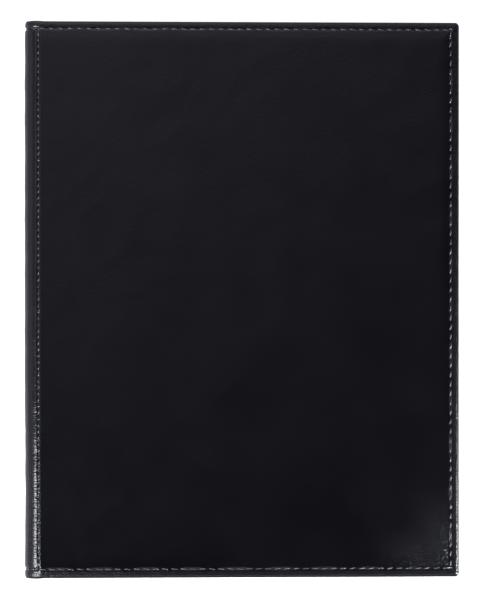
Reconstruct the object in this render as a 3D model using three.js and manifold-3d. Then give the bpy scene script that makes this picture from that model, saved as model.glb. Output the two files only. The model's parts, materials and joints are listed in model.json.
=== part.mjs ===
// Leather notebook cover, lying closed and empty on its back cover.
//
// Two stiff covers are joined by a soft, rounded spine. Each cover is a padded board wrapped in leather, lined inside,
// with a sleeve that a notebook's own cover slides into from the spine side. The leather bends round the spine in four
// folds, between the lips of the two covers and three strips, and lies flat when the cover is opened. Empty, the cover
// shuts to a wedge: full height at the spine, its sleeves nearly meeting at the fore edge.
//
// Millimetres. +Z is up, +X runs from the spine to the fore edge and +Y from tail to head. The origin is the middle of
// the closed cover's footprint, on the surface that it lies on.

import * as THREE from "three";
import { mergeVertices } from "three/addons/utils/BufferGeometryUtils.js";
import Module from "manifold-3d";

// Overall sizes
const coverHeight = 260; // tail to head
const coverReach = 197; // hinge line to fore edge
const hingeSpan = 18; // hinge line to hinge line, across the spine
const spineRadius = 6.2; // outside of the two bends that the spine leather makes, and its reach past the hinge lines

// Sheets
const leatherThickness = 1;
const hemThickness = 0.6; // leather pared down where it is turned over to the inside
const paddingThickness = 0.4;
const boardThickness = 1.2;
const liningThickness = 0.4;
const sleeveRoom = 0.8; // room in a sleeve for a notebook's card cover
const sleeveThickness = 0.8;
const stiffenerThickness = 0.6;
const glueLine = 0.1; // between glued or stitched layers

// Cover borders, measured in from the edge
const cornerRadius = 1.4;
const edgeRound = 0.45; // rounding of the folded leather edge
const stitchInset = 3.6;
const panelInset = 4.5; // foot of the raised panel
const hemWidth = 5; // leather turned over to the inside
const liningInset = 1.5;
const rimInset = 5.2; // inner side of the sleeves' turned-under rim

// Raised panel
const panelStep = 0.6; // height over the stitched border
const panelSlope = 0.6; // run of the panel's sloping rim
const panelCornerRadius = 2.2;
const boardInset = 0.8; // foot of the raised panel to the padding's pocket
const boardPlay = 0.2; // padding and board to the sides of their pocket

// Hinges
const hingeFlange = 1.7; // hinge line to the raised panel
const hingeStitchOffset = 0.6; // hinge line to the middle of the seam
const foldGap = 0.5; // between two strips' leather, at the fold between them
const foldTurns = [22.5, 67.5, 112.5, 157.5]; // degrees that the leather has turned through at each fold

// Spine
const stiffenerEndGap = 0.4; // stiffener to the turned-in leather

// Sleeves
const sleeveReach = 82; // fore edge to the sleeve's mouth
const mouthStitchOffset = 3.2; // mouth to its row of stitches
const closedGap = 0.8; // between the two sleeves at the fore edge of the shut cover

// Thread
const threadWidth = 0.6;
const threadHeight = 0.5; // half of it sinks into the leather
const threadPlay = 0.1; // thread to the sides and floor of its groove

// Facets
const cornerSteps = 4;
const bendSteps = 3;
const edgeSteps = 3;

// Heights in a cover's own frame: zero is the hinge line, and the inside of the cover is up.
const borderOuter = -leatherThickness / 2;
const borderInner = leatherThickness / 2;
const hemInner = borderInner + hemThickness;
const panelOuter = borderOuter - panelStep;
const panelInner = panelOuter + leatherThickness;
const paddingOuter = panelInner + glueLine;
const boardOuter = paddingOuter + paddingThickness + glueLine;
const liningOuter = boardOuter + boardThickness + glueLine;
const rimOuter = liningOuter + liningThickness + glueLine;
const sleeveOuter = rimOuter + sleeveRoom;
const sleeveInner = sleeveOuter + sleeveThickness;

// Places in a cover's own frame, along its width
const boardStart = hingeFlange + boardInset;
const mouth = coverReach - sleeveReach;
const halfHeight = coverHeight / 2;

// Places of the hinge lines
const threadProud = threadHeight / 2;
const hingeX = (spineRadius + threadProud - coverReach) / 2;
const backHingeZ = -panelOuter;
const frontHingeZ = backHingeZ + hingeSpan;
const spineMiddleZ = (backHingeZ + frontHingeZ) / 2;

// The spine in its own frame: zero is half-way between the hinge lines. Its depths are from the outside inwards.
const bendCentre = hingeSpan / 2 + leatherThickness / 2 - spineRadius; // up or down from the middle
const halfFoldGap = THREE.MathUtils.radToDeg(foldGap / 2 / spineRadius); // in degrees
const stiffenerDepth = leatherThickness + glueLine;
const spineLiningDepth = stiffenerDepth + stiffenerThickness + glueLine;

const colours = {
  leather: "#1b1b1f",
  thread: "#3c3c40",
  lining: "#222225",
  board: "#8b8478",
  padding: "#3a3a3c",
  stiffener: "#6e6658",
};

const wasm = await Module();
wasm.setup();

// ---- Solids ----

function solidOf(geometry) {
  const bare = geometry.clone();
  bare.deleteAttribute("normal");
  bare.deleteAttribute("uv");
  const merged = mergeVertices(bare, 1e-4);
  return new wasm.Manifold(
    new wasm.Mesh({
      numProp: 3,
      vertProperties: new Float32Array(merged.attributes.position.array),
      triVerts: new Uint32Array(merged.index.array),
    }),
  );
}

function geometryOf(solid) {
  const mesh = solid.getMesh();
  const geometry = new THREE.BufferGeometry();
  geometry.setAttribute("position", new THREE.BufferAttribute(mesh.vertProperties, 3));
  geometry.setIndex(new THREE.BufferAttribute(mesh.triVerts, 1));
  geometry.computeVertexNormals();
  return geometry;
}

function cut(geometry, ...tools) {
  const remains = tools.reduce((solid, tool) => solid.subtract(solidOf(tool)), solidOf(geometry));
  return geometryOf(remains);
}

function join(first, second) {
  return geometryOf(solidOf(first).add(solidOf(second)));
}

function sheetMesh(name, geometry, kind) {
  const finish = { color: colours[kind], roughness: kind === "leather" ? 0.4 : 0.9, metalness: 0 };
  const mesh = new THREE.Mesh(geometry, new THREE.MeshStandardMaterial(finish));
  mesh.name = name;
  return mesh;
}

// A flat outline, raised from one height to another.
function slab(outline, low, high) {
  const settings = { depth: high - low, bevelEnabled: false, curveSegments: cornerSteps };
  return new THREE.ExtrudeGeometry(outline, settings).translate(0, 0, low);
}

// The same with its upper and lower edges taken off, over a run and a rise.
function easedSlab(outline, low, high, run, rise) {
  const settings = {
    depth: high - low - 2 * rise,
    bevelSize: run,
    bevelThickness: rise,
    bevelOffset: -run,
    bevelSegments: edgeSteps,
    curveSegments: cornerSteps,
  };
  return new THREE.ExtrudeGeometry(outline, settings).translate(0, 0, low + rise);
}

// A rectangle from one side to the other and the same height either way of the middle. The radii are those of the two
// corners on the hinge side and of the two at the fore edge.
function rectangle(left, right, half, hingeRadius = 0, foreRadius = 0) {
  const outline = new THREE.Shape();
  outline.moveTo(left + hingeRadius, -half);
  outline.lineTo(right - foreRadius, -half);
  if (foreRadius > 0) outline.absarc(right - foreRadius, foreRadius - half, foreRadius, -Math.PI / 2, 0);
  outline.lineTo(right, half - foreRadius);
  if (foreRadius > 0) outline.absarc(right - foreRadius, half - foreRadius, foreRadius, 0, Math.PI / 2);
  outline.lineTo(left + hingeRadius, half);
  if (hingeRadius > 0) outline.absarc(left + hingeRadius, half - hingeRadius, hingeRadius, Math.PI / 2, Math.PI);
  outline.lineTo(left, hingeRadius - half);
  if (hingeRadius > 0) outline.absarc(left + hingeRadius, hingeRadius - half, hingeRadius, Math.PI, 1.5 * Math.PI);
  return outline;
}

// ---- Bends ----

// Part of an outline that follows the spine from one turn of the leather to another, in degrees: 0 leaves the back
// cover, 90 is upright and 180 meets the front cover.
function followSpine(outline, radius, from, to) {
  const polar = (turn) => THREE.MathUtils.degToRad(270 - turn);
  const lower = [Math.min(from, 90), Math.min(to, 90)];
  const upper = [Math.max(from, 90), Math.max(to, 90)];
  const bends = from < to ? [[-bendCentre, lower], [bendCentre, upper]] : [[bendCentre, upper], [-bendCentre, lower]];
  for (const [centre, [start, end]] of bends) {
    if (start !== end) outline.absarc(0, centre, radius, polar(start), polar(end), from < to);
  }
}

// A sheet bent round the spine between two turns, at a depth under the outside of its leather. A sheet that starts at
// the back hinge line may run on past it, flat, over a distance into the cover.
function bentSheet({ from, to, depth, thickness, length, run = 0 }) {
  const outer = spineRadius - depth;
  const inner = outer - thickness;
  const outline = new THREE.Shape();
  if (run > 0) {
    outline.moveTo(run, -bendCentre - outer);
    outline.lineTo(0, -bendCentre - outer);
  }
  followSpine(outline, outer, from, to);
  followSpine(outline, inner, to, from);
  if (run > 0) outline.lineTo(run, -bendCentre - inner);
  const settings = { depth: length, bevelEnabled: false, curveSegments: bendSteps };
  return new THREE.ExtrudeGeometry(outline, settings).rotateX(Math.PI / 2).translate(0, length / 2, 0);
}

// Where the leather has made a turn: a point on its outside, in the spine's frame.
function turnPlace(turn) {
  const angle = THREE.MathUtils.degToRad(turn);
  const centre = turn < 90 ? -bendCentre : bendCentre;
  return new THREE.Vector3(-spineRadius * Math.sin(angle), 0, centre - spineRadius * Math.cos(angle));
}

// ---- One cover, in its own frame ----

const lipEnd = foldTurns[0] - halfFoldGap;

// A sheet bent round a cover's lip, which curls up from the hinge line to the first fold.
function lipSheet(settings) {
  return bentSheet({ from: 0, to: lipEnd, ...settings }).translate(0, 0, hingeSpan / 2);
}

// A bar that runs from the first fold round a cover's head, fore edge and tail, at the stitching's distance from the
// edge. The play grows it on all sides.
function edgeRun(play) {
  const width = threadWidth + 2 * play;
  const low = borderOuter - threadProud - play;
  const high = low + threadHeight + 2 * play;
  const outerInset = stitchInset - width / 2;
  const innerInset = stitchInset + width / 2;
  const outer = slab(rectangle(0, coverReach - outerInset, halfHeight - outerInset), low, high);
  const core = rectangle(-width, coverReach - innerInset, halfHeight - innerInset);
  const flat = cut(outer, slab(core, low - width, high + width));
  const lip = {
    to: lipEnd + (play > 0 ? halfFoldGap : 0),
    depth: -threadProud - play,
    thickness: threadHeight + 2 * play,
    length: width,
    run: width,
  };
  const ends = [-1, 1].map((sign) => lipSheet(lip).translate(0, sign * (halfHeight - stitchInset), 0));
  return ends.reduce(join, flat);
}

// A straight bar from tail to head, a clearance short of the edge stitching at both ends.
function seamRun(middle, width, low, high) {
  const half = halfHeight - stitchInset - threadWidth;
  return slab(rectangle(middle - width / 2, middle + width / 2, half), low, high);
}

// The lip's leather, with the leather that is turned over to its inside at head and tail.
function lipLeather() {
  const wall = lipSheet({ depth: 0, thickness: leatherThickness, length: coverHeight, run: hingeFlange });
  const doubled = { depth: leatherThickness / 2, thickness: leatherThickness / 2 + hemThickness };
  const hems = [-1, 1].map((sign) =>
    lipSheet({ ...doubled, length: hemWidth, run: hingeFlange }).translate(0, (sign * (coverHeight - hemWidth)) / 2, 0),
  );
  return hems.reduce(join, wall);
}

function coverLeather() {
  const outline = rectangle(-hingeFlange, coverReach, halfHeight, 0, cornerRadius);
  const folded = easedSlab(outline, borderOuter, hemInner, edgeRound, edgeRound);
  const insideHem = rectangle(-hingeFlange, coverReach - hemWidth, halfHeight - hemWidth);
  const pastHinge = rectangle(-2 * hingeFlange, 0, coverHeight);
  const border = cut(
    folded,
    slab(insideHem, borderInner, hemInner + leatherThickness),
    slab(pastHinge, panelOuter, hemInner + leatherThickness),
  );

  const panelOutline = rectangle(
    hingeFlange,
    coverReach - panelInset,
    halfHeight - panelInset,
    panelCornerRadius,
    panelCornerRadius,
  );
  const panel = easedSlab(panelOutline, panelOuter, panelOuter + 2 * panelStep + glueLine, panelSlope, panelStep);

  const grooveWidth = threadWidth + 2 * threadPlay;
  const grooveTop = borderOuter + threadHeight / 2 + threadPlay;
  return cut(
    join(join(border, lipLeather()), panel),
    slab(pocketOutline(0), panelInner, hemInner + leatherThickness),
    edgeRun(threadPlay),
    seamRun(hingeStitchOffset, grooveWidth, panelOuter, grooveTop),
  );
}

// Outline of the pocket that the padding and the board lie in, or of what fits it with some play.
function pocketOutline(play) {
  const inset = panelInset + boardInset + play;
  return rectangle(
    boardStart + play,
    coverReach - inset,
    halfHeight - inset,
    panelCornerRadius,
    panelCornerRadius,
  );
}

function coverPadding() {
  return slab(pocketOutline(boardPlay), paddingOuter, paddingOuter + paddingThickness);
}

function coverBoard() {
  return slab(pocketOutline(boardPlay), boardOuter, boardOuter + boardThickness);
}

// The lining lies on the board, dips to the hinge line and runs on over the lip.
function coverLining() {
  const outer = spineRadius - spineLiningDepth;
  const inner = outer - liningThickness;
  const dipOuter = -bendCentre - outer;
  const dipInner = -bendCentre - inner;
  const flatOuter = liningOuter - hingeSpan / 2;
  const flatInner = flatOuter + liningThickness;
  const foreEnd = coverReach - liningInset;
  const outline = new THREE.Shape();
  outline.moveTo(foreEnd, flatOuter);
  outline.lineTo(boardStart, flatOuter);
  outline.lineTo(0, dipOuter);
  followSpine(outline, outer, 0, lipEnd);
  followSpine(outline, inner, lipEnd, 0);
  outline.lineTo(0, dipInner);
  outline.lineTo(boardStart, flatInner);
  outline.lineTo(foreEnd, flatInner);
  const length = coverHeight - 2 * liningInset;
  const settings = { depth: length, bevelEnabled: false, curveSegments: bendSteps };
  return new THREE.ExtrudeGeometry(outline, settings).rotateX(Math.PI / 2).translate(0, length / 2, hingeSpan / 2);
}

// The sleeve's rim is turned under and sewn down along head, fore edge and tail. The mouth is open.
function coverSleeve() {
  const outline = rectangle(mouth, coverReach - liningInset, halfHeight - liningInset, 0, cornerRadius);
  const room = rectangle(mouth - rimInset, coverReach - rimInset, halfHeight - rimInset);
  const grooveFloor = sleeveInner - threadHeight / 2 - threadPlay;
  return cut(
    slab(outline, rimOuter, sleeveInner),
    slab(room, rimOuter - sleeveRoom, sleeveOuter),
    seamRun(mouth + mouthStitchOffset, threadWidth + 2 * threadPlay, grooveFloor, sleeveInner + threadHeight),
  );
}

function coverGroup(side) {
  const group = new THREE.Group();
  const threadLow = borderOuter - threadProud;
  const mouthLow = sleeveInner - threadProud;
  const hingeThread = seamRun(hingeStitchOffset, threadWidth, threadLow, threadLow + threadHeight);
  const mouthThread = seamRun(mouth + mouthStitchOffset, threadWidth, mouthLow, mouthLow + threadHeight);
  group.add(
    sheetMesh(`${side}_leather`, coverLeather(), "leather"),
    sheetMesh(`${side}_padding`, coverPadding(), "padding"),
    sheetMesh(`${side}_board`, coverBoard(), "board"),
    sheetMesh(`${side}_lining`, coverLining(), "lining"),
    sheetMesh(`${side}_sleeve`, coverSleeve(), "leather"),
    sheetMesh(`${side}_edge_stitching`, edgeRun(0), "thread"),
    sheetMesh(`${side}_hinge_stitching`, hingeThread, "thread"),
    sheetMesh(`${side}_sleeve_stitching`, mouthThread, "thread"),
  );
  return group;
}

// ---- Spine ----

// A strip's leather, with the pared leather that is turned over to its inside at head and tail, and a groove there for
// the stitching.
function stripLeather(sweep, ends) {
  const wall = bentSheet({ ...sweep, depth: 0, thickness: leatherThickness, length: coverHeight });
  const doubled = { depth: leatherThickness / 2, thickness: leatherThickness / 2 + hemThickness };
  const hems = ends.map((sign) =>
    bentSheet({ ...sweep, ...doubled, length: hemWidth }).translate(0, (sign * (coverHeight - hemWidth)) / 2, 0),
  );
  const groove = { from: sweep.from - halfFoldGap, to: sweep.to + halfFoldGap };
  return cut(hems.reduce(join, wall), ...ends.map((sign) => stripThread(groove, sign, threadPlay)));
}

// A strip's run of the head or tail stitching, grown on all sides by some play.
function stripThread(sweep, sign, play) {
  const run = bentSheet({
    ...sweep,
    depth: -threadProud - play,
    thickness: threadHeight + 2 * play,
    length: threadWidth + 2 * play,
  });
  return run.translate(0, sign * (halfHeight - stitchInset), 0);
}

function spineGroup() {
  const group = new THREE.Group();
  const liningLength = coverHeight - 2 * liningInset;
  ["lower", "middle", "upper"].forEach((strip, index) => {
    const sweep = { from: foldTurns[index] + halfFoldGap, to: foldTurns[index + 1] - halfFoldGap };
    const lining = { ...sweep, depth: spineLiningDepth, thickness: liningThickness, length: liningLength };
    group.add(
      sheetMesh(`spine_leather_${strip}`, stripLeather(sweep, [-1, 1]), "leather"),
      sheetMesh(`spine_lining_${strip}`, bentSheet(lining), "lining"),
      sheetMesh(`spine_tail_stitching_${strip}`, stripThread(sweep, -1, 0), "thread"),
      sheetMesh(`spine_head_stitching_${strip}`, stripThread(sweep, 1, 0), "thread"),
    );
  });
  const stiffener = bentSheet({
    from: foldTurns[1] + halfFoldGap,
    to: foldTurns[2] - halfFoldGap,
    depth: stiffenerDepth,
    thickness: stiffenerThickness,
    length: coverHeight - 2 * (hemWidth + stiffenerEndGap),
  });
  group.add(sheetMesh("spine_stiffener", stiffener, "stiffener"));
  return group;
}

// ---- Assembly ----

// The turn about the last fold that brings the front sleeve down to the back one at the fore edge, but for the closed
// gap. The fold lies a reach and a depth from the front sleeve's inner edge.
function closingAngle(fold) {
  const reach = coverReach - liningInset - fold.x;
  const depth = sleeveInner - (hingeSpan / 2 - fold.z);
  const drop = hingeSpan / 2 + fold.z - sleeveInner - closedGap;
  return Math.asin(drop / Math.hypot(reach, depth)) - Math.atan2(depth, reach);
}

const spinePlace = new THREE.Vector3(hingeX, 0, spineMiddleZ);

const backCover = coverGroup("back");
backCover.position.set(hingeX, 0, backHingeZ);

const spine = spineGroup();
spine.position.copy(spinePlace);

const lastFold = turnPlace(foldTurns[3]);
const frontCover = coverGroup("front");
frontCover.rotation.x = Math.PI;
frontCover.position.set(-lastFold.x, 0, hingeSpan / 2 - lastFold.z);
const frontHinge = new THREE.Group().add(frontCover);
frontHinge.position.copy(spinePlace).add(lastFold);
frontHinge.rotation.y = closingAngle(lastFold);

const notebookCover = new THREE.Group().add(backCover, spine, frontHinge);

export default notebookCover;
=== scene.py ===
import json
import math

import bmesh
import bpy
import numpy as np
from mathutils import Matrix, Vector, noise


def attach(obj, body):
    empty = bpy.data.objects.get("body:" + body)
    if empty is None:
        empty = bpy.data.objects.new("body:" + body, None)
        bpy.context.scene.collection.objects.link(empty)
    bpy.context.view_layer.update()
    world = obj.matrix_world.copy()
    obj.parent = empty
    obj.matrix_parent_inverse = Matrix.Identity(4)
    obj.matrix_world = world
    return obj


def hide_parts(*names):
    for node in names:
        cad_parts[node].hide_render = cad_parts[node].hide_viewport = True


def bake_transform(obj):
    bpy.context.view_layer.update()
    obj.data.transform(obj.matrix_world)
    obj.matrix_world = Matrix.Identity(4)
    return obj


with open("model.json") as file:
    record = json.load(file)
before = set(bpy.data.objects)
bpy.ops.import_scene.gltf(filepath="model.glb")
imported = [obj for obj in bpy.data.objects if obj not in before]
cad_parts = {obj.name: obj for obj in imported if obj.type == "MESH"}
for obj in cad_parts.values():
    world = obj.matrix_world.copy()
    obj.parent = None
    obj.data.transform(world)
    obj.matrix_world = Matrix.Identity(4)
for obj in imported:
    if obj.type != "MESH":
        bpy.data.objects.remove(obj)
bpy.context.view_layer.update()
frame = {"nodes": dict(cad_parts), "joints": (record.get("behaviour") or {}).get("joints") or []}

mm = 0.001
nearby = 0.01 * mm  # points this close are on the same line

book = {
    "reach": 197.6 * mm,  # hinge line to fore edge
    "height": 260 * mm,  # tail to head
    "spineRadius": 6.2 * mm,  # outside of the two bends of the spine
    "borderDepth": 0.6 * mm,  # the spine's leather lies this far under the faces of the panels
    "firstFold": math.radians(22.5),  # turn of the leather where each cover's lip ends
    "foldTurn": math.radians(45),  # turn from one fold to the next
    "bendZone": 1.5 * mm,  # leather that bends, either side of a fold
}

joints = {joint["name"]: joint for joint in frame["joints"]}
foldNames = ["back_hinge", "lower_spine_fold", "upper_spine_fold", "front_hinge"]
folds = [Vector(joints[name]["pos_m"]) for name in foldNames]
closingAngle = math.radians(joints["front_hinge"]["range_deg"][1] - joints["back_hinge"]["range_deg"][1])

radius = book["spineRadius"]
borderDepth = book["borderDepth"]
reach = book["reach"]
half = book["height"] / 2
bookThickness = folds[0].z + folds[3].z  # as if the covers were parallel
hingeX = folds[0].x + radius * math.sin(book["firstFold"])
bendLength = radius * math.pi / 2
flatLength = bookThickness - 2 * (borderDepth + radius)
spineLength = 2 * bendLength + flatLength
halfBend = bendLength / 2
splits = [halfBend, spineLength / 2, spineLength - halfBend]  # middles of the spine's three strips


def smoothStep(value, low, high):
    share = np.clip((value - low) / (high - low), 0, 1)
    return share * share * (3 - 2 * share)


def foldDirection(index, turned=0.0):
    # along the leather, from the back cover to the front one
    turn = book["firstFold"] + index * book["foldTurn"] + turned
    return Vector((-math.cos(turn), 0, math.sin(turn)))


def bendRoundBook(points):
    # flat leather: distance along it from the back hinge line, height, depth under the panels' faces
    along, height, depth = points.T
    turn = np.clip(along, 0, bendLength) + np.clip(along - bendLength - flatLength, 0, bendLength)
    turn = turn / radius
    bendRadius = radius + borderDepth - depth
    x = hingeX - bendRadius * np.sin(turn) + np.maximum(-along, 0) + np.maximum(along - spineLength, 0)
    z = borderDepth + radius + np.clip(along - bendLength, 0, flatLength) - bendRadius * np.cos(turn)
    # the empty cover shuts past parallel at its last fold
    last = folds[3]
    way = foldDirection(3)
    passed = (x - last.x) * way.x + (z - last.z) * way.z
    angle = closingAngle * smoothStep(passed, -book["bendZone"], book["bendZone"]) * (along > spineLength / 2)
    fromX = x - last.x
    fromZ = z - last.z
    x = last.x + fromX * np.cos(angle) + fromZ * np.sin(angle)
    z = last.z - fromX * np.sin(angle) + fromZ * np.cos(angle)
    return np.column_stack([x, height, z])


def points(mesh):
    flat = np.zeros(len(mesh.vertices) * 3)
    mesh.vertices.foreach_get("co", flat)
    return flat.reshape(-1, 3)


def setPoints(mesh, values):
    mesh.vertices.foreach_set("co", np.asarray(values, float).ravel())
    mesh.update()


def addAttribute(mesh, name, values):
    values = np.asarray(values, np.float32)
    kind, field = ("FLOAT", "value") if values.ndim == 1 else ("FLOAT_VECTOR", "vector")
    attribute = mesh.attributes.get(name) or mesh.attributes.new(name, kind, "POINT")
    attribute.data.foreach_set(field, values.ravel())


def newObject(name, bm, material):
    mesh = bpy.data.meshes.new(name)
    bm.to_mesh(mesh)
    bm.free()
    obj = bpy.data.objects.new(name, mesh)
    bpy.context.scene.collection.objects.link(obj)
    mesh.materials.append(material)
    mesh.shade_smooth()
    return obj


def applyModifiers(obj):
    graph = bpy.context.evaluated_depsgraph_get()
    finished = bpy.data.meshes.new_from_object(obj.evaluated_get(graph))
    obj.modifiers.clear()
    old = obj.data
    obj.data = finished
    bpy.data.meshes.remove(old)
    finished.shade_smooth()


def unevenness(along, height, size, seed):
    # smooth noise, about -0.5 to 0.5, over patches of a size
    shift = Vector((seed * 7.1, seed * 3.7, seed * 1.9))
    return np.array([noise.noise(Vector((a / size, h / size, 0)) + shift) for a, h in zip(along, height)])


def gradedLines(low, high, fineLow, fineHigh, fine, coarse):
    # grid lines: fine within a distance of each end, coarse between
    lines = list(np.arange(low, low + fineLow, fine))
    middle = max(int(round((high - fineHigh - low - fineLow) / coarse)), 1)
    lines += list(np.linspace(low + fineLow, high - fineHigh, middle + 1))
    lines += list(high - np.arange(0, fineHigh, fine)[::-1])
    return np.unique(np.round(lines, 7))


def gridSheet(alongLines, heightLines):
    bm = bmesh.new()
    bmesh.ops.create_grid(bm, x_segments=len(alongLines) - 1, y_segments=len(heightLines) - 1, size=1)
    for vert in bm.verts:
        column = round((vert.co.x + 1) / 2 * (len(alongLines) - 1))
        row = round((vert.co.y + 1) / 2 * (len(heightLines) - 1))
        vert.co = (alongLines[column], heightLines[row], 0)
    return bm


def linearColour(hexColour):
    parts = [int(hexColour[i:i + 2], 16) / 255 for i in (1, 3, 5)]
    return [p / 12.92 if p <= 0.04045 else ((p + 0.055) / 1.055) ** 2.4 for p in parts] + [1]


def addNode(owner, kind, settings=None, **inputs):
    # Inputs go by name, with spaces as underscores, or by number, as n0. A node or a socket is linked, and
    # anything else is a value. The setting "stops" fills a colour ramp with hex colours or shades of grey.
    node = owner.node_tree.nodes.new("ShaderNode" + kind)
    for name, value in (settings or {}).items():
        if name != "stops":
            setattr(node, name, value)
            continue
        elements = node.color_ramp.elements
        while len(elements) < len(value):
            elements.new(0.5)
        for element, (position, shade) in zip(elements, value):
            element.position = position
            element.color = linearColour(shade) if isinstance(shade, str) else (shade, shade, shade, 1)
    for name, value in inputs.items():
        byNumber = name[0] == "n" and name[1:].isdigit()
        socket = node.inputs[int(name[1:]) if byNumber else name.replace("_", " ")]
        if isinstance(value, bpy.types.Node):
            value = value.outputs[0]
        if isinstance(value, bpy.types.NodeSocket):
            owner.node_tree.links.new(value, socket)
        else:
            socket.default_value = value
    return node


def newMaterial(name):
    material = bpy.data.materials.new(name)
    material.use_nodes = True
    material.node_tree.nodes.clear()
    return material


times = {"operation": "MULTIPLY"}
plus = {"operation": "ADD"}
toMillimetres = (1 / mm,) * 3

leatherLook = {
    "dark": "#030305",
    "light": "#060608",
    "patch": 38,  # mm across a patch of one shade
    "ior": 1.53,
    "roughness": (0.11, 0.16),
    "cloud": 9,  # mm across a patch of one roughness
    "matt": 0.24,  # what the unpolished leather inside the book adds to the roughness
    "pebble": 0.75,  # mm across one grain of the embossed pebble
    "swell": 1.7,  # mm across the swellings that it lies on
    "swellDepth": 0.5,  # against the depth of the pebble, as are the next two depths
    "pores": 0.3,  # mm between pores
    "poreDepth": 0.12,
    "creases": (1.3, 9.0),  # mm: width and length of the short fold lines that run across the spine
    "creaseDepth": 3.6,
    "relief": 0.14,  # mm from the bottom to the top of the pebble
}


def coatedLeather():
    # Split cowhide with an embossed, pigmented polyurethane coat, pressed smooth on the panels: near black, a
    # soft wide gloss, and a pebble grain that shows where the leather is turned, folded or worn.
    m = newMaterial("coated black cowhide")
    look = leatherLook
    cut = addNode(m, "Attribute", {"attribute_name": "cut"}).outputs["Vector"]
    grain = addNode(m, "Attribute", {"attribute_name": "grain"}).outputs["Fac"]
    crease = addNode(m, "Attribute", {"attribute_name": "crease"}).outputs["Fac"]
    matt = addNode(m, "Attribute", {"attribute_name": "matt"}).outputs["Fac"]
    flat = addNode(m, "Mapping", Vector=cut, Scale=toMillimetres)
    pebble = addNode(m, "TexVoronoi", {"feature": "SMOOTH_F1"}, Vector=flat, Scale=1 / look["pebble"],
                     Smoothness=0.45, Randomness=1.0)
    swell = addNode(m, "TexNoise", Vector=flat, Scale=1 / look["swell"], Detail=3.0, Roughness=0.6)
    swell = addNode(m, "Math", times, n0=swell, n1=look["swellDepth"])
    height = addNode(m, "Math", plus, n0=pebble, n1=swell)
    height = addNode(m, "Math", times, n0=height, n1=grain)
    pores = addNode(m, "TexNoise", Vector=flat, Scale=1 / look["pores"], Detail=2.0, Roughness=0.65)
    pores = addNode(m, "Math", times, n0=pores, n1=look["poreDepth"])
    height = addNode(m, "Math", plus, n0=height, n1=pores)
    width, length = look["creases"]
    drawnOut = addNode(m, "Mapping", Vector=flat, Scale=(1 / length, 1 / width, 1))
    lines = addNode(m, "TexNoise", Vector=drawnOut, Scale=1.0, Detail=4.0, Roughness=0.62, Distortion=0.35)
    crease = addNode(m, "Math", times, n0=crease, n1=look["creaseDepth"])
    lines = addNode(m, "Math", times, n0=lines, n1=crease)
    height = addNode(m, "Math", plus, n0=height, n1=lines)
    bump = addNode(m, "Bump", Height=height, Strength=0.6, Distance=look["relief"] * mm)
    patches = addNode(m, "TexNoise", Vector=flat, Scale=1 / look["patch"], Detail=3.0)
    colour = addNode(m, "ValToRGB", {"stops": [(0.35, look["dark"]), (0.7, look["light"])]}, Fac=patches)
    clouds = addNode(m, "TexNoise", Vector=flat, Scale=1 / look["cloud"], Detail=4.0)
    smooth, dull = look["roughness"]
    rough = addNode(m, "MapRange", Value=clouds, To_Min=smooth, To_Max=dull)
    matt = addNode(m, "Math", times, n0=matt, n1=look["matt"])
    rough = addNode(m, "Math", plus, n0=rough, n1=matt)
    shader = addNode(m, "BsdfPrincipled", Base_Color=colour, Roughness=rough, IOR=look["ior"], Normal=bump)
    addNode(m, "OutputMaterial", Surface=shader)
    return m


threadLook = {
    "dark": "#16161a",
    "light": "#2a2a2f",
    "ior": 1.54,
    "roughness": 0.16,
    "film": 0.5,  # weight of the resin film
    "filmRoughness": 0.14,
    "ply": 0.9,  # mm along one twist
    "slant": 2.0,  # how far a ply turns round the thread between its twists
    "relief": 0.05,  # mm
}


def bondedThread():
    # Bonded nylon sewing thread: two twisted plies under a resin film, so each stitch has small sharp glints.
    m = newMaterial("bonded black nylon thread")
    look = threadLook
    strand = addNode(m, "Attribute", {"attribute_name": "strand"}).outputs["Vector"]
    along, around, shade = addNode(m, "SeparateXYZ", Vector=strand).outputs
    twist = addNode(m, "Math", times, n0=along, n1=2 * math.pi / (look["ply"] * mm))
    around = addNode(m, "Math", times, n0=around, n1=look["slant"])
    twist = addNode(m, "Math", plus, n0=twist, n1=around)
    twist = addNode(m, "Math", {"operation": "SINE"}, n0=twist)
    bump = addNode(m, "Bump", Height=twist, Strength=0.8, Distance=look["relief"] * mm)
    colour = addNode(m, "ValToRGB", {"stops": [(0.0, look["dark"]), (1.0, look["light"])]}, Fac=shade)
    shader = addNode(m, "BsdfPrincipled", Base_Color=colour, Roughness=look["roughness"], IOR=look["ior"],
                     Coat_Weight=look["film"], Coat_Roughness=look["filmRoughness"], Normal=bump)
    addNode(m, "OutputMaterial", Surface=shader)
    return m


liningLook = {
    "dark": "#0d0d10",
    "light": "#26262b",
    "roughness": 0.85,
    "rib": 0.55,  # mm from rib to rib, about twice that of real ones so that they show
    "relief": 0.06,  # mm
}


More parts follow.
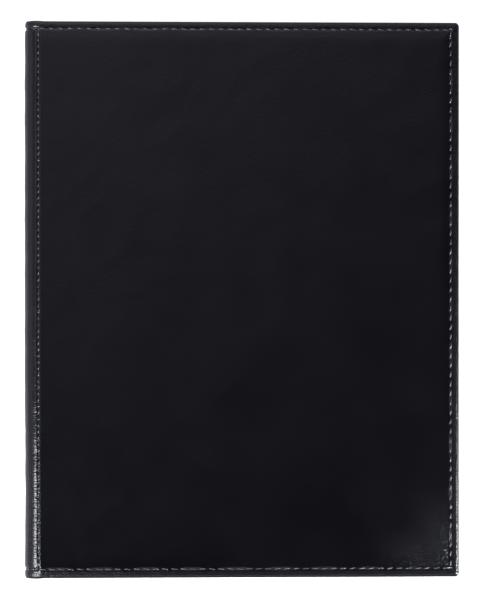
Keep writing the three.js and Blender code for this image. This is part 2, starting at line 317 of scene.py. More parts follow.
def twillLining():
    # Black polyester twill: matt, with fine slanting ribs that catch a little light. Its colour is painted
    # shade and painted highlight: darker in the hollows between the ribs, lighter on their tops.
    m = newMaterial("black polyester twill")
    look = liningLook
    cut = addNode(m, "Attribute", {"attribute_name": "cut"}).outputs["Vector"]
    along, up, _ = addNode(m, "SeparateXYZ", Vector=cut).outputs
    turns = 2 * math.pi / (look["rib"] * mm)
    rib = addNode(m, "Math", plus, n0=along, n1=up)
    rib = addNode(m, "Math", times, n0=rib, n1=turns)
    rib = addNode(m, "Math", {"operation": "SINE"}, n0=rib)
    weft = addNode(m, "Math", times, n0=up, n1=2 * turns)
    weft = addNode(m, "Math", {"operation": "SINE"}, n0=weft)
    weft = addNode(m, "Math", times, n0=weft, n1=0.35)
    height = addNode(m, "Math", plus, n0=rib, n1=weft)
    bump = addNode(m, "Bump", Height=height, Strength=0.6, Distance=look["relief"] * mm)
    # painted shade and painted highlight: the colour follows the rib height, darker between the ribs and
    # lighter on them
    share = addNode(m, "Math", times, n0=height, n1=0.3)
    share = addNode(m, "Math", plus, n0=share, n1=0.5)
    colour = addNode(m, "ValToRGB", {"stops": [(0.1, look["dark"]), (0.9, look["light"])]}, Fac=share)
    shader = addNode(m, "BsdfPrincipled", Base_Color=colour, Roughness=look["roughness"],
                     Specular_IOR_Level=0.2, Sheen_Weight=0.04, Sheen_Roughness=0.5, Normal=bump)
    addNode(m, "OutputMaterial", Surface=shader)
    return m


fibreLooks = {  # dark, light, mm between specks
    "greyboard": ("#756f66", "#958e83", 0.6),
    "black polyurethane foam": ("#2b2b2e", "#3e3e42", 0.4),
    "kraft card": ("#675c4b", "#7d7160", 0.8),
}


def pressedFibre(name):
    # Recycled paper fibre or foam, matt and slightly speckled.
    m = newMaterial(name)
    dark, light, speck = fibreLooks[name]
    place = addNode(m, "TexCoord").outputs["Object"]
    place = addNode(m, "Mapping", Vector=place, Scale=toMillimetres)
    specks = addNode(m, "TexNoise", Vector=place, Scale=1 / speck, Detail=5.0)
    bump = addNode(m, "Bump", Height=specks, Strength=0.4, Distance=0.05 * mm)
    colour = addNode(m, "ValToRGB", {"stops": [(0.3, dark), (0.7, light)]}, Fac=specks)
    shader = addNode(m, "BsdfPrincipled", Base_Color=colour, Roughness=0.92, Normal=bump)
    addNode(m, "OutputMaterial", Surface=shader)
    return m


leather = coatedLeather()
thread = bondedThread()
twill = twillLining()
greyboard, foam, card = [pressedFibre(name) for name in fibreLooks]
print("materials made")


outer = {
    "cornerRadius": 1.9 * mm,
    "edgeRadius": 1.6 * mm,  # the turned edge rounds over within this distance of the outline
    "edgeHalf": 1.0 * mm,  # half of its thickness
    "edgeDepth": 0.2 * mm,  # crown of the border under the panel's face
    "edgeSlope": (1.2 * mm, 9 * mm),  # distances from the outline where it rises to the panel
    "edgeSteps": 8,
    "edgeBulge": 0.22 * mm,  # the spine's ends stand this far out between the covers
    "hem": (2.6 * mm, 4.4 * mm),  # how far the leather is turned over to the inside
    "thickness": 0.65 * mm,
    "seamInset": {"head": 3.45 * mm, "tail": 4.25 * mm, "fore": 4.0 * mm},
    "hingeSeam": 0.6 * mm,  # hinge line to hinge seam
    "holeRadius": 0.48 * mm,
    "holeDepth": 0.5 * mm,
    "climb": (0.85, 0.3 * mm),  # share of the bend before the hinge line, and distance past it
    "step": 0.2,  # share of the spine's depth that is left for the step
    "stepPlace": (1.0 * mm, 1.4 * mm),
    "grooveDepth": 0.04 * mm,
    "grooveWidth": 0.55 * mm,
    "grooveEnd": 1 * mm,  # grooves run this far past the seam's corners
    "pinch": 0.7 * mm,  # depth of the same groove where it crosses the spine
    "pinchDip": 0.12 * mm,  # and of the wide dip round it
    "pinchSpread": 2.6,
    "hingeGroove": 0.1 * mm,
    "hingeGrooveWidth": 0.42 * mm,
    "hingeGrooveEnd": (3 * mm, 5 * mm),
    "dentHeight": -92 * mm,  # a shallow dent in the spine, toward the tail
    "dentLength": 34 * mm,
    "dentDepth": 0.25 * mm,
    "dentEdge": (0.3 * mm, 5 * mm),
    "swells": ((24 * mm, 0.07 * mm), (7 * mm, 0.02 * mm)),  # size and height of the panel's unevenness
    "ripple": (9 * mm, 0.22 * mm, 0.4),  # the same on the spine, and how far it is drawn out across it
    "fine": 0.25 * mm,  # rows of the mesh by the seams and the bends, and elsewhere
    "coarse": 2.0 * mm,
    "fineBand": 6 * mm,
    "pastBend": 3 * mm,
    "splitRow": 0.03 * mm,  # a narrow row beside each split keeps the shading smooth across it
    "cornerRows": np.array([0.1, 0.2, 0.3]) * mm,  # the corners turn in a small arc
    "stepRows": np.arange(0.2, 1.9, 0.1) * mm,  # the face of the panel starts in a steep little step
}

wear = {
    "panel": 0.2,  # share of the pebble that is left where the panel is pressed smooth
    "border": 0.66,  # what the border, the spine and the worn corner add to it
    "spine": 0.3,
    "corner": 1.6,
    "borderEnd": (2.6 * mm, 3.8 * mm),
    "spineEnd": (-0.4 * mm, 0.8 * mm),
    "cornerInto": (145 * mm, 180 * mm),  # from the hinge line
    "cornerHeight": (-112 * mm, -74 * mm),  # up from the middle of the cover
    "cornerWidth": (10 * mm, 32 * mm),  # from the outline, as is the next
    "cornerSeam": (4.2 * mm, 5.4 * mm),
    "borderMatt": 0.3,
    "cornerMatt": 0.12,
    "inside": (1.2 * mm, 2 * mm),  # depths where the polish ends
    "creaseHeight": (-108 * mm, -45 * mm),
    "creaseLeast": 0.06,
}


def inCover(along):
    # distance from the nearer hinge line into a cover: below 0 on the spine
    return np.maximum(-along, along - spineLength)


stitch = {
    "width": 0.8 * mm,
    "height": 0.6 * mm,
    "edgePitch": 4.4 * mm,
    "hingePitch": 2.94 * mm,
    "mouthPitch": 3.3 * mm,
    "hole": 1.25 * mm,  # leather between the ends of two stitches
    "slant": math.radians(-9),
    "rise": 0.16 * mm,  # middle of a stitch over the leather
    "dive": 0.34 * mm,  # its ends under the leather
    "bow": 2.6,  # the higher, the later it dives
    "taper": 0.12,
    "widths": (0.92, 1.08),
    "turn": 0.05,  # radians: how unevenly they lie
    "shades": (0.1, 0.9),
}
backFore = outer["seamInset"]["fore"] - reach
frontFore = spineLength - backFore
headLine = half - outer["seamInset"]["head"]
tailLine = outer["seamInset"]["tail"] - half
hingeEnd = 0.9 * mm  # the hinge seams stop this far from those at the head and the tail
edgeSeam = [
    ((backFore, tailLine), (frontFore, tailLine)),
    ((frontFore, tailLine), (frontFore, headLine)),
    ((frontFore, headLine), (backFore, headLine)),
    ((backFore, headLine), (backFore, tailLine)),
]
hingeSeams = {
    "back": ((-outer["hingeSeam"], tailLine + hingeEnd), (-outer["hingeSeam"], headLine - hingeEnd)),
    "front": ((spineLength + outer["hingeSeam"], tailLine + hingeEnd),
              (spineLength + outer["hingeSeam"], headLine - hingeEnd)),
}
seams = [(np.array(a), np.array(b), stitch["edgePitch"]) for a, b in edgeSeam]
seams += [(np.array(a), np.array(b), stitch["hingePitch"]) for a, b in hingeSeams.values()]


def needleHoles(along, height):
    # 1 in the middle of each hole of the seams, falling to 0 round it
    holes = np.zeros(len(along))
    size = outer["holeRadius"]
    for start, end, pitch in seams:
        way = (end - start) / np.linalg.norm(end - start)
        step = np.linalg.norm(end - start) / max(round(np.linalg.norm(end - start) / pitch), 1)
        run = (along - start[0]) * way[0] + (height - start[1]) * way[1]
        off = (along - start[0]) * way[1] - (height - start[1]) * way[0]
        gap = run - np.round(run / step) * step
        within = (run > -size) & (run < np.linalg.norm(end - start) + size)
        holes = np.maximum(holes, np.exp(-(gap ** 2 + off ** 2) / size ** 2) * within)
    return holes


def outerDepth(along, height):
    into = inCover(along)
    headTail = half - np.abs(height)
    fore = reach - into
    onSpine = 1 - smoothStep(into, -outer["hingeSeam"], outer["hingeSeam"])
    border = outer["edgeDepth"] * (1 - smoothStep(np.minimum(headTail, fore), *outer["edgeSlope"]))
    # from the back of the spine the leather climbs to the panels, and does the rest in a step beside the seam
    beforeHinge, pastHinge = outer["climb"]
    climb = (1 - outer["step"]) * smoothStep(into, -beforeHinge * halfBend, pastHinge)
    hinge = borderDepth * (1 - climb - outer["step"] * smoothStep(into, *outer["stepPlace"]))
    depth = border + hinge - border * hinge / borderDepth
    # grooves that the tight stitches pull into the leather
    inset = outer["seamInset"]
    cornerEnd = inset["fore"] - outer["grooveEnd"]
    ends = np.where(height > 0, headTail - inset["head"], headTail - inset["tail"])
    endGroove = np.exp(-(ends / outer["grooveWidth"]) ** 2) * (fore > cornerEnd)
    foreGroove = np.exp(-((fore - inset["fore"]) / outer["grooveWidth"]) ** 2) * (headTail > cornerEnd)
    deep = outer["grooveDepth"] + (outer["pinch"] - outer["grooveDepth"]) * onSpine
    depth = depth + np.maximum(endGroove * deep, foreGroove * outer["grooveDepth"])
    wide = np.exp(-(ends / (outer["pinchSpread"] * outer["grooveWidth"])) ** 2)
    depth = depth + outer["pinchDip"] * wide * onSpine
    hingeGroove = np.exp(-((into - outer["hingeSeam"]) / outer["hingeGrooveWidth"]) ** 2)
    depth = depth + outer["hingeGroove"] * hingeGroove * smoothStep(headTail, *outer["hingeGrooveEnd"])
    dent = np.exp(-((height - outer["dentHeight"]) / outer["dentLength"]) ** 2)
    depth = depth + outer["dentDepth"] * dent * smoothStep(-into, *outer["dentEdge"])
    depth = depth + outer["holeDepth"] * needleHoles(along, height)
    uneven = 0
    for seed, (size, high) in enumerate(outer["swells"], 1):
        uneven = uneven + unevenness(along, height, size, seed) * high
    size, high, drawnOut = outer["ripple"]
    rippled = unevenness(along * drawnOut, height, size, 3) * high * onSpine
    return np.maximum(depth + np.abs(uneven) + rippled, 0)


def edgePlace(base, inset):
    # a point of the sheet's rim, moved to a distance inside the cover's outline
    along, height = base
    into = -along if along < spineLength / 2 else along - spineLength
    corner = outer["cornerRadius"]
    rim = outer["edgeRadius"]
    cornerInto = into - (reach - corner)
    cornerHeight = abs(height) - (half - corner)
    if cornerInto > 0 and cornerHeight > 0:
        if inset < corner:
            grow = (corner - inset) / math.hypot(cornerInto, cornerHeight)
            into = reach - corner + cornerInto * grow
            height = math.copysign(half - corner + cornerHeight * grow, height)
        else:
            into, height = reach - inset, math.copysign(half - inset, height)
    elif abs(abs(height) - (half - rim)) < nearby:
        height = math.copysign(half - inset, height)
        into = min(into, reach - inset)
    else:
        into = reach - inset
        height = max(min(height, half - inset), inset - half)
    return (-into if along < spineLength / 2 else into + spineLength), height


def roundCorners(bm):
    # the square corners of the grid become quarter circles
    rim = outer["edgeRadius"]
    corner = outer["cornerRadius"] - rim
    for vert in bm.verts:
        into = float(inCover(vert.co.x))
        a = (into - (reach - rim - corner)) / corner
        b = (abs(vert.co.y) - (half - rim - corner)) / corner
        if a > 0 and b > 0:
            newInto = reach - rim - corner + corner * a * math.sqrt(1 - b * b / 2)
            vert.co.x = -newInto if vert.co.x < 0 else newInto + spineLength
            vert.co.y = math.copysign(half - rim - corner + corner * b * math.sqrt(1 - a * a / 2), vert.co.y)


def skinGrid(low, high):
    # rows are close together by the outline and the bends, and where a panel begins
    rim = outer["edgeRadius"]
    start = -(reach - rim) if low is None else low
    end = spineLength + reach - rim if high is None else high
    fine, coarse, band = outer["fine"], outer["coarse"], outer["fineBand"]
    pastHinge = halfBend + outer["pastBend"]
    if low is None:
        alongLines = gradedLines(start, end, band, pastHinge, fine, coarse)
    elif high is None:
        alongLines = gradedLines(start, end, pastHinge, band, fine, coarse)
    else:
        alongLines = np.linspace(start, end, int((end - start) / fine) + 1)
    corner = outer["cornerRows"]
    first = start + (corner if low is None else outer["splitRow"])
    last = end - (corner if high is None else outer["splitRow"])
    alongLines = np.unique(np.round(np.concatenate([alongLines, np.ravel(first), np.ravel(last)]), 7))
    if low is None or high is None:
        steps = -outer["stepRows"] if low is None else spineLength + outer["stepRows"]
        alongLines = np.unique(np.round(np.append(alongLines, steps), 7))
    top = half - rim
    heightLines = gradedLines(-top, top, band, band, fine, coarse)
    heightLines = np.unique(np.round(np.concatenate([heightLines, corner - top, top - corner]), 7))
    return gridSheet(alongLines, heightLines)


def turnEdge(bm, base, cut, splitsHere):
    # the edge is rolled over, and the leather runs on as a hem on the inside
    rim = outer["edgeRadius"]
    thick = 2 * outer["edgeHalf"]

    def isRim(edge):
        atSplit = any(all(abs(v[base].x - s) < nearby for v in edge.verts) for s in splitsHere)
        return edge.is_boundary and not atSplit

    rims = [e for e in bm.edges if isRim(e)]
    rimDepth = {tuple(round(part, 8) for part in v[base].xy): v.co.z for e in rims for v in e.verts}
    steps = []
    for k in range(1, outer["edgeSteps"] + 1):
        angle = math.pi * k / outer["edgeSteps"]
        steps.append((rim * (1 - math.sin(angle)), thick / 2 * (1 - math.cos(angle)), rim * angle))
    for hem in outer["hem"]:
        steps.append((hem, thick, math.pi * rim + hem - rim))
    for inset, drop, run in steps:
        made = bmesh.ops.extrude_edge_only(bm, edges=rims)["geom"]
        rims = [g for g in made if isinstance(g, bmesh.types.BMEdge) and isRim(g)]
        for vert in (g for g in made if isinstance(g, bmesh.types.BMVert)):
            bx, by, _ = vert[base]
            x, y = edgePlace((bx, by), inset)
            onSpine = 1 - float(smoothStep(inCover(bx), 0, 4 * mm))
            share = drop / thick
            depth = rimDepth[(round(bx, 8), round(by, 8))] * (1 - share) + outer["edgeDepth"] * share + drop
            bulge = outer["edgeBulge"] * onSpine * math.sin(math.pi * share) ** 2
            vert.co = (x, y + math.copysign(bulge, y), depth)
            outX, outY = edgePlace((bx, by), 0)
            way = Vector((outX - bx, outY - by, 0)).normalized()
            vert[cut] = Vector((bx, by, 0)) + way * run


def markWear(mesh, flat):
    # the pebble grain is pressed out of the panels, but for their tail corners, and the spine is creased
    # toward the tail
    into = inCover(flat[:, 0])
    height, depth = flat[:, 1], flat[:, 2]
    toEdge = np.minimum(half - np.abs(height), reach - into)
    border = 1 - smoothStep(toEdge, *wear["borderEnd"])
    onSpine = 1 - smoothStep(into, *wear["spineEnd"])
    corner = smoothStep(into, *wear["cornerInto"]) * (1 - smoothStep(height, *wear["cornerHeight"]))
    corner = corner * (1 - smoothStep(toEdge, *wear["cornerWidth"])) * smoothStep(toEdge, *wear["cornerSeam"])
    grain = wear["panel"] + wear["border"] * border + wear["spine"] * onSpine
    addAttribute(mesh, "grain", grain + wear["corner"] * corner * (1 - border))
    matt = np.maximum(wear["borderMatt"] * border, wear["cornerMatt"] * corner)
    addAttribute(mesh, "matt", np.maximum(smoothStep(depth, *wear["inside"]), matt))
    tailward = 1 - smoothStep(height, *wear["creaseHeight"])
    addAttribute(mesh, "crease", onSpine * (wear["creaseLeast"] + (1 - wear["creaseLeast"]) * tailward))


def leatherPiece(name, low, high):
    bm = skinGrid(low, high)
    roundCorners(bm)
    coords = np.array([v.co for v in bm.verts])
    depths = outerDepth(coords[:, 0], coords[:, 1])
    base = bm.verts.layers.float_vector.new("base")
    cut = bm.verts.layers.float_vector.new("cut")
    for vert, depth in zip(bm.verts, depths):
        vert[base] = vert[cut] = (vert.co.x, vert.co.y, 0)
        vert.co.z = depth
    turnEdge(bm, base, cut, [s for s in (low, high) if s is not None])
    bm.verts.layers.float_vector.remove(base)
    bmesh.ops.remove_doubles(bm, verts=bm.verts, dist=0.002 * mm)
    bmesh.ops.recalc_face_normals(bm, faces=bm.faces)
    obj = newObject(name, bm, leather)
    if sum(p.normal.z * p.area for p in obj.data.polygons if p.center.z < outer["edgeHalf"]) > 0:
        obj.data.flip_normals()
    wall = obj.modifiers.new("wall", "SOLIDIFY")
    wall.thickness = outer["thickness"]
    wall.offset = -1
    applyModifiers(obj)
    flat = points(obj.data)
    markWear(obj.data, flat)
    setPoints(obj.data, bendRoundBook(flat))
    return obj


def bendAt(obj):
    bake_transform(obj)


limits = [None, *splits, None]
leatherPieces = [
    ("back_leather_skin", ["back_leather"]),
    ("spine_leather_skin_lower", ["spine_leather_lower"]),
    ("spine_leather_skin_upper", ["spine_leather_middle"]),
    ("front_leather_skin", ["spine_leather_upper", "front_leather"]),
]
for index, (name, nodes) in enumerate(leatherPieces):
    piece = leatherPiece(name, limits[index], limits[index + 1])
    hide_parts(*nodes)
    bendAt(piece)
print("outer leather made")


lining = {
    "inset": 1.5 * mm,
    "depth": 2.38 * mm,  # over the hem and round the spine
    "boardDepth": 2.9 * mm,
    "hemEnd": (3.2 * mm, 6.5 * mm),  # distances from the outline where it comes down on the board
    "hingeEnd": (0.6 * mm, 3.2 * mm),  # and from the hinge line
    "seamGroove": (0.6 * mm, 0.04 * mm),  # width and depth
    "swell": (20 * mm, 0.05 * mm),
    "thickness": 0.34 * mm,
    "fine": 0.5 * mm,
    "coarse": 4 * mm,
    "fineBand": 6 * mm,
    "pastBend": 4 * mm,
}


def liningDepth(along, height):
    into = inCover(along)
    toEdge = np.minimum(half - np.abs(height), reach - into)
    onBoard = smoothStep(toEdge, *lining["hemEnd"]) * smoothStep(into, *lining["hingeEnd"])
    width, groove = lining["seamGroove"]
    seam = np.exp(-((into - outer["hingeSeam"]) / width) ** 2)
    size, high = lining["swell"]
    uneven = np.abs(unevenness(along, height, size, 5)) * high
    drop = lining["boardDepth"] - lining["depth"]
    return lining["depth"] + drop * onBoard - groove * seam + uneven * onBoard


def sheetPiece(name, alongLines, heightLines, depthOf, thickness, material, bevel=0.0):
    # a flat sheet seen from inside the book: depthOf gives its hidden side
    bm = gridSheet(alongLines, heightLines)
    coords = np.array([v.co for v in bm.verts])
    for vert, depth in zip(bm.verts, depthOf(coords[:, 0], coords[:, 1])):
        vert.co.z = depth
    obj = newObject(name, bm, material)
    wall = obj.modifiers.new("wall", "SOLIDIFY")
    wall.thickness = thickness
    wall.offset = 1
    if bevel:
        eased = obj.modifiers.new("eased", "BEVEL")
        eased.width = bevel
        eased.segments = 3
        eased.limit_method = "ANGLE"
        eased.angle_limit = math.radians(60)
    applyModifiers(obj)
    flat = points(obj.data)
    addAttribute(obj.data, "cut", flat)
    return obj, flat


fine, coarse, band = lining["fine"], lining["coarse"], lining["fineBand"]
pastHinge = halfBend + lining["pastBend"]
heightLines = gradedLines(lining["inset"] - half, half - lining["inset"], band, band, fine, coarse)
liningPieces = [
    ("back_lining_cloth", ["back_lining"]),
    ("spine_lining_cloth_lower", ["spine_lining_lower"]),
    ("spine_lining_cloth_upper", ["spine_lining_middle"]),
    ("front_lining_cloth", ["spine_lining_upper", "front_lining"]),
]
for index, (name, nodes) in enumerate(liningPieces):
    low, high = limits[index], limits[index + 1]
    start = lining["inset"] - reach if low is None else low
    end = spineLength + reach - lining["inset"] if high is None else high
    if low is None:
        lines = gradedLines(start, end, band, pastHinge, fine, coarse)
    elif high is None:
        lines = gradedLines(start, end, pastHinge, band, fine, coarse)
    else:
        lines = np.linspace(start, end, int((end - start) / fine) + 1)
    piece, flat = sheetPiece(name, lines, heightLines, liningDepth, lining["thickness"], twill)
    setPoints(piece.data, bendRoundBook(flat))
    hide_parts(*nodes)
    bendAt(piece)
# the lining is one cloth: the upper strip of the spine is made in one piece with the front cover's lining
print("linings made")

sleeve = {
    "mouth": 115 * mm,  # from the hinge line
    "thickness": 0.8 * mm,
    "sewnDepth": 2.86 * mm,  # its hidden side, where it is sewn down
    "openDepth": 4.15 * mm,  # its hidden side, where there is room behind it
    "rise": (4.3 * mm, 9 * mm),  # distances from the outline where it rises from one to the other
    "mouthSeam": 3.2 * mm,
    "seamGroove": (0.5 * mm, 0.14 * mm),  # width and depth
    "swell": (30 * mm, 0.25 * mm),
    "bevel": 0.3 * mm,
    "grain": (0.35, 0.5),  # share of the pebble, and what its rim adds
    "rimEnd": (3 * mm, 5 * mm),
    "rimOffset": 1 * mm,  # the rim is this much narrower at the mouth
    "fine": 0.4 * mm,
    "coarse": 3 * mm,
    "mouthBand": 5 * mm,
    "edgeBand": 9 * mm,
}


def sleeveDepth(along, height):
    into = inCover(along)
    toEdge = np.minimum(half - np.abs(height), reach - into)
    risen = smoothStep(toEdge, *sleeve["rise"])
    width, groove = sleeve["seamGroove"]
    seam = np.exp(-((into - sleeve["mouth"] - sleeve["mouthSeam"]) / width) ** 2)
    size, high = sleeve["swell"]
    uneven = unevenness(along, height, size, 8) * high
    room = sleeve["openDepth"] - sleeve["sewnDepth"] + uneven
    return sleeve["sewnDepth"] + room * risen - groove * seam * risen


def sleevePiece(side):
    first = sleeve["mouth"]
    inset = lining["inset"]
    fine, coarse, band = sleeve["fine"], sleeve["coarse"], sleeve["edgeBand"]
    lines = gradedLines(first, reach - inset, sleeve["mouthBand"], band, fine, coarse)
    lines = -lines[::-1] if side == "back" else lines + spineLength
    rows = gradedLines(inset - half, half - inset, band, band, fine, coarse)
    piece, flat = sheetPiece(side + "_sleeve_panel", lines, rows, sleeveDepth, sleeve["thickness"], leather,
                             sleeve["bevel"])
    into = inCover(flat[:, 0])
    toEdge = np.minimum(half - np.abs(flat[:, 1]), reach - into)
    nearRim = 1 - smoothStep(np.minimum(toEdge, into - first + sleeve["rimOffset"]), *sleeve["rimEnd"])
    plain, rimmed = sleeve["grain"]
    addAttribute(piece.data, "grain", plain + rimmed * nearRim)
    addAttribute(piece.data, "crease", np.zeros(len(flat)))
    addAttribute(piece.data, "matt", np.ones(len(flat)))
    setPoints(piece.data, bendRoundBook(flat))
    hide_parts(side + "_sleeve")
    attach(piece, side + "_cover")


for side in ("back", "front"):
    sleevePiece(side)
print("sleeves made")


def stitchTemplate():
    # a ball drawn out into a short rod with blunt ends: place along, across and up, and angle round it
    bm = bmesh.new()
    bmesh.ops.create_uvsphere(bm, u_segments=8, v_segments=8, radius=1)
    shape = []
    for vert in bm.verts:
        across, up, along = vert.co
        around = math.hypot(across, up)
        full = (1 - min(abs(along), 1) ** 4) ** 0.25 / max(around, 1e-6)
        shape.append((along, across * full, up * full, math.atan2(up, across)))
    ball = bpy.data.meshes.new("stitch")
    bm.to_mesh(ball)
    bm.free()
    return np.array(shape), ball


templateShape, templateBall = stitchTemplate()
rng = np.random.default_rng(11)


def stitchRow(start, end, pitch):
    # evenly spaced stitches between two points of the flat leather: middle, heading and length of each
    start, end = np.array(start), np.array(end)
    length = np.linalg.norm(end - start)
    count = max(int(round(length / pitch)), 1)
    heading = math.atan2(*(end - start)[::-1])
    step = (end - start) / count
    row = []
    for k in range(count):
        place = start + step * (k + 0.5)
        towardForeEdge = abs(heading) < 1 and start[1] < 0 and place[0] > spineLength + reach / 2
        slant = -stitch["slant"] if towardForeEdge else stitch["slant"]
        row.append((*place, heading, length / count, slant))
    return row


def stitchPiece(name, rows, surface, outward):
    # outward is -1 for stitches on the outside of the leather, and 1 for those inside the book
    places, strands = [], []
    rows = np.array(rows)
    depths = surface(rows[:, 0], rows[:, 1])
    run, side, up, around = templateShape.T
    bm = bmesh.new()
    for (along, height, heading, pitch, slant), depth in zip(rows, depths):
        bm.from_mesh(templateBall)
        length = pitch - stitch["hole"] * min(pitch / stitch["edgePitch"], 1)
        angle = heading - slant * outward + rng.normal(0, stitch["turn"])
        wide = stitch["width"] * rng.uniform(*stitch["widths"])
        x = run * length / 2
        y = side * wide / 2 * (1 - stitch["taper"] * run ** 2)
        lift = stitch["rise"] - (stitch["dive"] + stitch["rise"]) * np.abs(run) ** stitch["bow"]
        z = up * stitch["height"] / 2 + lift
        turnedX = along + x * math.cos(angle) - y * math.sin(angle)
        turnedY = height + x * math.sin(angle) + y * math.cos(angle)
        places.append(np.column_stack([turnedX, turnedY, depth + outward * z]))
        strands.append(np.column_stack([x, around, np.full(len(x), rng.uniform(*stitch["shades"]))]))
    for vert, place in zip(bm.verts, bendRoundBook(np.vstack(places))):
        vert.co = place
    bm.normal_update()
    bmesh.ops.recalc_face_normals(bm, faces=bm.faces)
    obj = newObject(name, bm, thread)
    addAttribute(obj.data, "strand", np.vstack(strands))
    return obj


def insideDepth(along, height):
    # face of what the stitches lie on inside the book
    into = inCover(along)
    onSleeve = into > sleeve["mouth"]
    sleeveFace = sleeveDepth(along, height) + sleeve["thickness"]
    return np.where(onSleeve, sleeveFace, liningDepth(along, height) + lining["thickness"])


loop = [row for start, end in edgeSeam for row in stitchRow(start, end, stitch["edgePitch"])]

spineRows = ("spine_head_stitching_", "spine_tail_stitching_")
edgePieces = [
    ("back_edge_stitches", ["back_edge_stitching"]),
    ("spine_stitches_lower", [row + "lower" for row in spineRows]),
    ("spine_stitches_upper", [row + "middle" for row in spineRows]),
    ("front_edge_stitches", ["front_edge_stitching"] + [row + "upper" for row in spineRows]),
]
bounds = [-1.0, *splits, 1.0]
for index, (name, nodes) in enumerate(edgePieces):
    mine = [row for row in loop if bounds[index] <= row[0] < bounds[index + 1]]
    outside = stitchPiece(name, mine, outerDepth, -1)
    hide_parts(*nodes)
    bendAt(outside)
    inside = stitchPiece(name.replace("stitches", "inner_stitches"), mine, insideDepth, 1)
    bendAt(inside)

for side in ("back", "front"):
    mouth = -sleeve["mouth"] - sleeve["mouthSeam"]
    mouth = mouth if side == "back" else spineLength - mouth
    hingeRow = stitchRow(*hingeSeams[side], stitch["hingePitch"])
    mouthEnds = (mouth, tailLine + 2 * hingeEnd), (mouth, headLine - 2 * hingeEnd)
    mouthRow = stitchRow(*mouthEnds, stitch["mouthPitch"])
    for name, row, surface, outward, nodes in [
        ("_hinge_stitches", hingeRow, outerDepth, -1, [side + "_hinge_stitching"]),
        ("_hinge_inner_stitches", hingeRow, insideDepth, 1, []),
        ("_sleeve_stitches", mouthRow, insideDepth, 1, [side + "_sleeve_stitching"]),
    ]:
        piece = stitchPiece(side + name, row, surface, outward)
        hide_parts(*nodes)
        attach(piece, side + "_cover")
bpy.data.meshes.remove(templateBall)
print("stitches made")


# the boards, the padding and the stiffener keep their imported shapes
hidden = {"back_board": greyboard, "front_board": greyboard, "back_padding": foam, "front_padding": foam,
          "spine_stiffener": card}
for name, material in hidden.items():
    frame["nodes"][name].data.materials.clear()
    frame["nodes"][name].data.materials.append(material)
print("hidden pieces finished")

studio = {
    "floorSize": 6.0,
    "floorDrop": 0.2 * mm,
    "floorColour": "#bcbcbc",
    "floorGlow": 0.9,
    "floorGlowMirrored": 0.05,
    "lampColour": (0.94, 0.97, 1.0),
    "wallTint": (0.93, 0.94, 1.12),
    "walls": [(0.0, 0.62), (0.26, 0.64), (0.45, 0.6), (0.62, 0.46), (0.76, 0.26), (0.88, 0.1), (0.97, 0.0)],
    "ceiling": [(0.78, 0.0), (0.97, 1.0)],
    "ceilingLevel": 0.25,
    "ceilingLeast": 0.01,
    "ceilingLean": (-1.2, 1.9),  # lighter toward the spine and the head
    "cameraHeight": 1.565,
    "cameraShift": (-0.9 * mm, -0.1 * mm),
    "lens": 198.85,
    "farthest": 20,
}
softboxes = {  # place, target, size across and along the book, power, angle of the grid
    "head softbox": ((-0.3, 0.95, 0.85), (0, 0, 0), (1.0, 0.7), 1.6, 180),
    "spine softbox": ((-0.45, -0.38, 0.74), (-0.1, -0.38, 0), (0.42, 0.36), 12, 180),
    "spine side card": ((-0.69, -0.4, 0.53), (-0.1, -0.4, 0), (0.45, 0.5), 1.1, 180),
    "fore edge softbox": ((0.6, -0.34, 0.56), (0.1, -0.11, 0), (0.2, 0.22), 0.56, 30),
    "fore edge card": ((0.85, -0.38, 0.16), (0.1, -0.1, 0), (0.3, 0.3), 1.5, 180),
    "tail strip": ((0.05, -0.62, 0.8), (0.05, -0.13, 0), (0.9, 0.08), 0.5, 180),
}


def studioFloor():
    bm = bmesh.new()
    bmesh.ops.create_grid(bm, x_segments=1, y_segments=1, size=studio["floorSize"] / 2)
    bmesh.ops.translate(bm, verts=bm.verts, vec=(0, 0, -studio["floorDrop"]))
    m = newMaterial("white card")
    path = addNode(m, "LightPath").outputs
    seen = addNode(m, "Math", times, n0=path["Is Camera Ray"], n1=studio["floorGlow"])
    mirrored = addNode(m, "Math", times, n0=path["Is Glossy Ray"], n1=studio["floorGlowMirrored"])
    strength = addNode(m, "Math", plus, n0=seen, n1=mirrored)
    paper = addNode(m, "BsdfDiffuse", Color=linearColour(studio["floorColour"]))
    glow = addNode(m, "Emission", Color=(1, 1, 1, 1), Strength=strength)
    addNode(m, "OutputMaterial", Surface=addNode(m, "AddShader", n0=paper, n1=glow))
    newObject("studio_floor", bm, m)


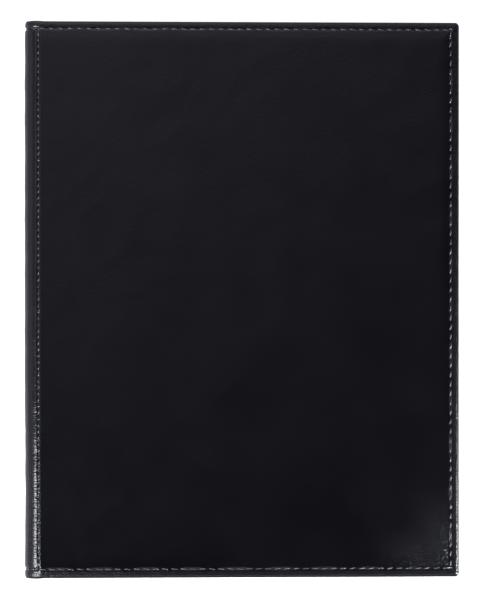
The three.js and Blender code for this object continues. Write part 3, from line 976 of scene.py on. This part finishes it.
def softbox(name, place, target, size, power, grid):
    light = bpy.data.lights.new(name, "AREA")
    light.shape = "RECTANGLE"
    light.size, light.size_y = size
    light.energy = power
    light.spread = math.radians(grid)
    light.color = studio["lampColour"]
    lamp = bpy.data.objects.new(name, light)
    lamp.location = place
    back = (Vector(place) - Vector(target)).normalized()
    across = Vector((0, 1, 0)).cross(back).normalized()
    lamp.rotation_mode = "QUATERNION"
    lamp.rotation_quaternion = Matrix((across, back.cross(across), back)).transposed().to_quaternion()
    bpy.context.scene.collection.objects.link(lamp)


def studioWorld():
    # walls of grey card, and a ceiling that is darker toward the tail and the fore edge
    world = bpy.data.worlds.new("studio")
    bpy.context.scene.world = world
    world.use_nodes = True
    world.node_tree.nodes.clear()
    x, y, z = addNode(world, "SeparateXYZ", Vector=addNode(world, "TexCoord").outputs["Generated"]).outputs
    leanX, leanY = studio["ceilingLean"]
    lean = addNode(world, "Math", plus, n0=addNode(world, "Math", times, n0=x, n1=leanX),
                   n1=addNode(world, "Math", times, n0=y, n1=leanY))
    lean = addNode(world, "Math", plus, n0=lean, n1=studio["ceilingLevel"])
    lean = addNode(world, "Math", {"operation": "MAXIMUM"}, n0=lean, n1=studio["ceilingLeast"])
    ceiling = addNode(world, "ValToRGB", {"stops": studio["ceiling"]}, Fac=z)
    ceiling = addNode(world, "Math", times, n0=lean, n1=ceiling)
    walls = addNode(world, "ValToRGB", {"stops": studio["walls"]}, Fac=z)
    level = addNode(world, "Math", plus, n0=ceiling, n1=walls)
    tinted = addNode(world, "VectorMath", times, n0=level, n1=studio["wallTint"])
    room = addNode(world, "Background", Color=tinted, Strength=1.0)
    plain = addNode(world, "Background", Color=(1, 1, 1, 1), Strength=1.0)
    seen = addNode(world, "LightPath").outputs["Is Camera Ray"]
    addNode(world, "OutputWorld", Surface=addNode(world, "MixShader", Fac=seen, n1=room, n2=plain))


studioFloor()
studioWorld()
for name, box in softboxes.items():
    softbox(name, *box)

camera = bpy.data.objects.new("camera", bpy.data.cameras.new("camera"))
camera.data.lens = studio["lens"]
camera.data.clip_end = studio["farthest"]
camera.location = (*studio["cameraShift"], studio["cameraHeight"])
bpy.context.scene.collection.objects.link(camera)
bpy.context.scene.camera = camera
bpy.context.scene.view_settings.view_transform = "Standard"
print("studio set")
